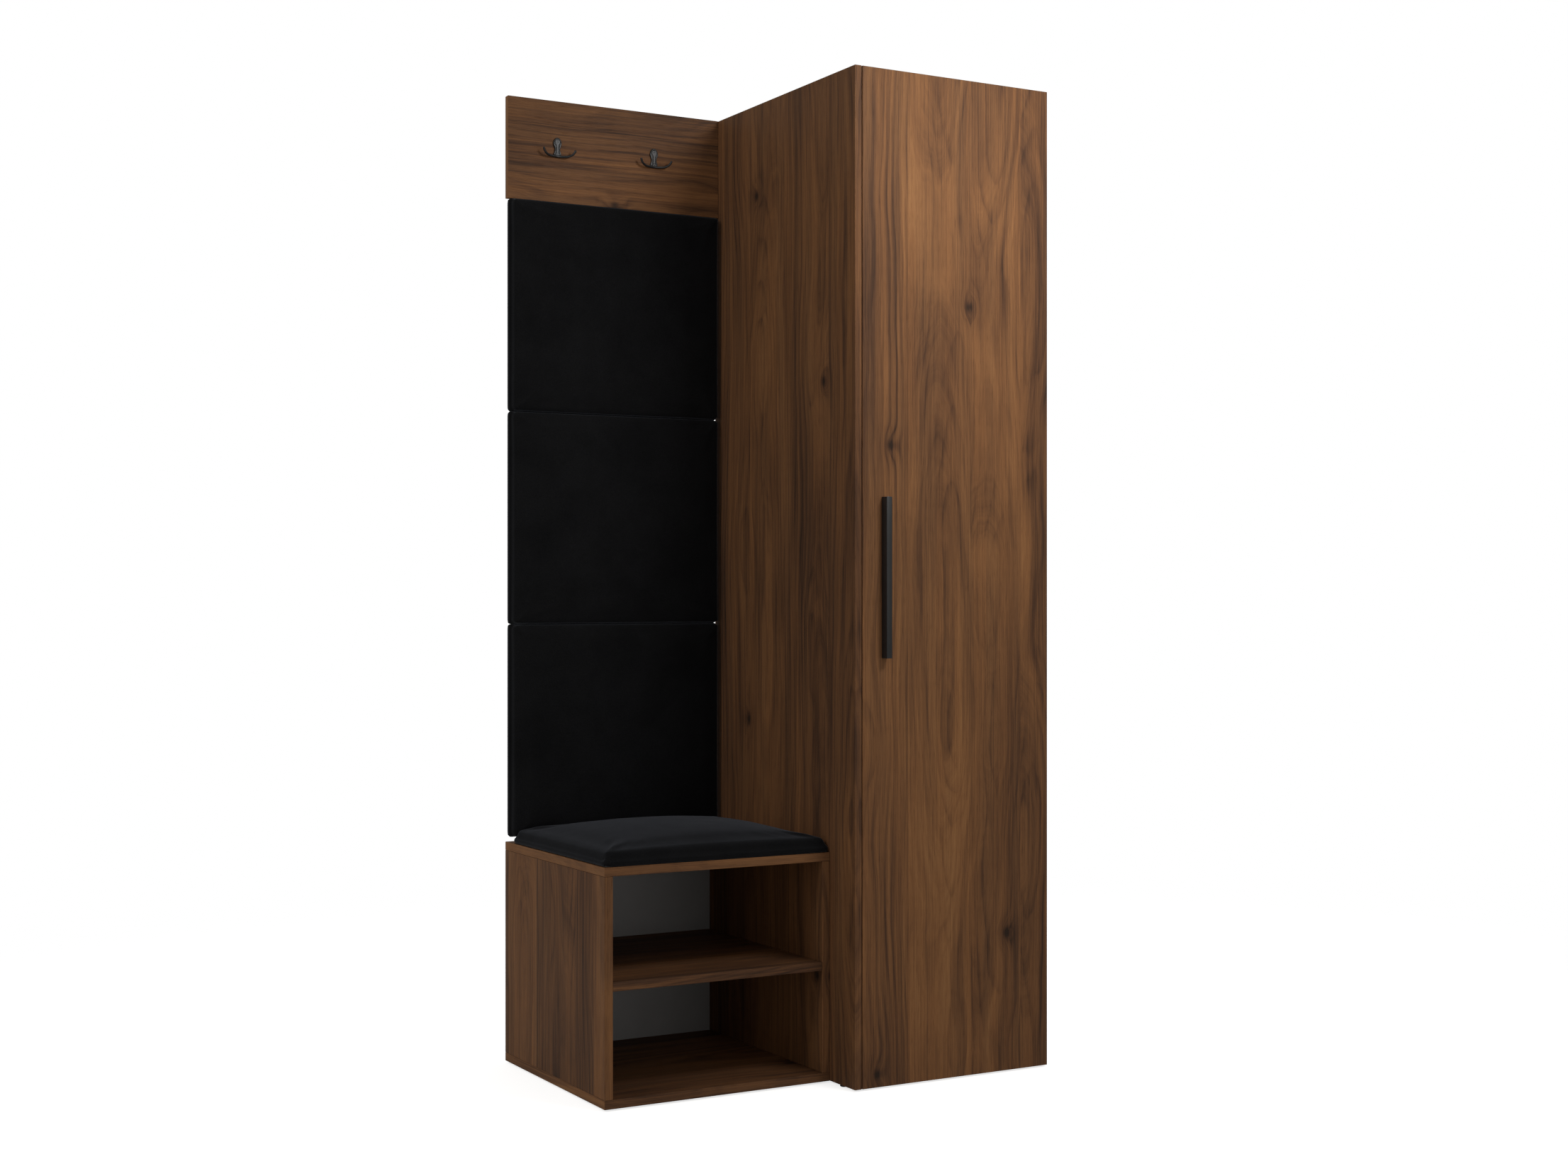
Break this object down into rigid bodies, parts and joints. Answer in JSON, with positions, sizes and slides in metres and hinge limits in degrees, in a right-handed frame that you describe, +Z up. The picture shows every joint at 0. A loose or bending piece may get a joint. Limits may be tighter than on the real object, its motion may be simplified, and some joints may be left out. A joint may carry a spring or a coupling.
{
  "type": "hallway shoe bench and wardrobe set",
  "caption": "Hallway furniture set: open shoe bench with seat cushion, upholstered wall panels, a panel with coat hooks, and a tall single-door wardrobe on concealed hinges.",
  "frame": {"origin": "on the floor, under the middle of the whole set's box, which includes the door handle", "axes": "+X runs right along the wall, +Y runs back towards the wall, +Z is up; the door and the open shoe bays face -Y"},
  "size_m": [1, 0.636, 2.1],
  "materials": {
    "walnut_board": "satin walnut-decor laminate",
    "back_board": "pale grey lacquered hardboard",
    "plywood": "raw plywood",
    "velvet": "short-pile black velvet over foam",
    "black_metal": "matt black powder coat",
    "bright_metal": "polished",
    "hinge_steel": "nickel-plated pressed steel",
    "black_plastic": "moulded, matt",
    "clear_plastic": "soft translucent"
  },
  "bodies": {
    "root": {"bench_back": "back_board", "bench_bottom": "walnut_board", "bench_glide_1": "black_plastic", "bench_glide_2": "black_plastic", "bench_glide_3": "black_plastic", "bench_glide_4": "black_plastic", "bench_shelf": "walnut_board", "bench_side_left": "walnut_board", "bench_side_right": "walnut_board", "bench_top": "walnut_board", "coat_hook_1": "black_metal", "coat_hook_2": "black_metal", "hanging_rail": "bright_metal", "hat_shelf": "walnut_board", "hinge_arm_1": "hinge_steel", "hinge_arm_2": "hinge_steel", "hinge_arm_3": "hinge_steel", "hinge_arm_4": "hinge_steel", "hook_panel": "walnut_board", "hook_screw_1": "black_metal", "hook_screw_2": "black_metal", "hook_screw_3": "black_metal", "hook_screw_4": "black_metal", "lower_shelf": "walnut_board", "rail_socket_left": "hinge_steel", "rail_socket_right": "hinge_steel", "seat_base_board": "plywood", "seat_cushion": "velvet", "wall_bracket": "bright_metal", "wall_panel_board_1": "plywood", "wall_panel_board_2": "plywood", "wall_panel_board_3": "plywood", "wall_panel_pad_1": "velvet", "wall_panel_pad_2": "velvet", "wall_panel_pad_3": "velvet", "wardrobe_back": "back_board", "wardrobe_bottom": "walnut_board", "wardrobe_glide_1": "black_plastic", "wardrobe_glide_2": "black_plastic", "wardrobe_glide_3": "black_plastic", "wardrobe_glide_4": "black_plastic", "wardrobe_side_left": "walnut_board", "wardrobe_side_right": "walnut_board", "wardrobe_top": "walnut_board"},
    "door": {"door": "walnut_board", "door_bumper_1": "clear_plastic", "door_bumper_2": "clear_plastic", "door_handle": "black_metal", "handle_screw_1": "bright_metal", "handle_screw_2": "bright_metal", "hinge_cup_1": "hinge_steel", "hinge_cup_2": "hinge_steel", "hinge_cup_3": "hinge_steel", "hinge_cup_4": "hinge_steel"},
    "hinge_links": {"hinge_link_1": "hinge_steel", "hinge_link_2": "hinge_steel", "hinge_link_3": "hinge_steel", "hinge_link_4": "hinge_steel"}
  },
  "joints": [
    {"name": "door_hinge", "type": "hinge", "parent": "root", "child": "door", "pos_m": [0.495, -0.292, 1.052], "axis": [0, 0, 1], "range_deg": [0, 110]},
    {"name": "hinge_link_fold", "type": "hinge", "parent": "door", "child": "hinge_links", "pos_m": [0.4895, -0.286, 1.052], "axis": [0, 0, 1], "range_deg": [-131, 0]}
  ],
  "couplings": [
    {"joint": "hinge_link_fold", "follows": "door_hinge", "ratio": -1.1836}
  ]
}
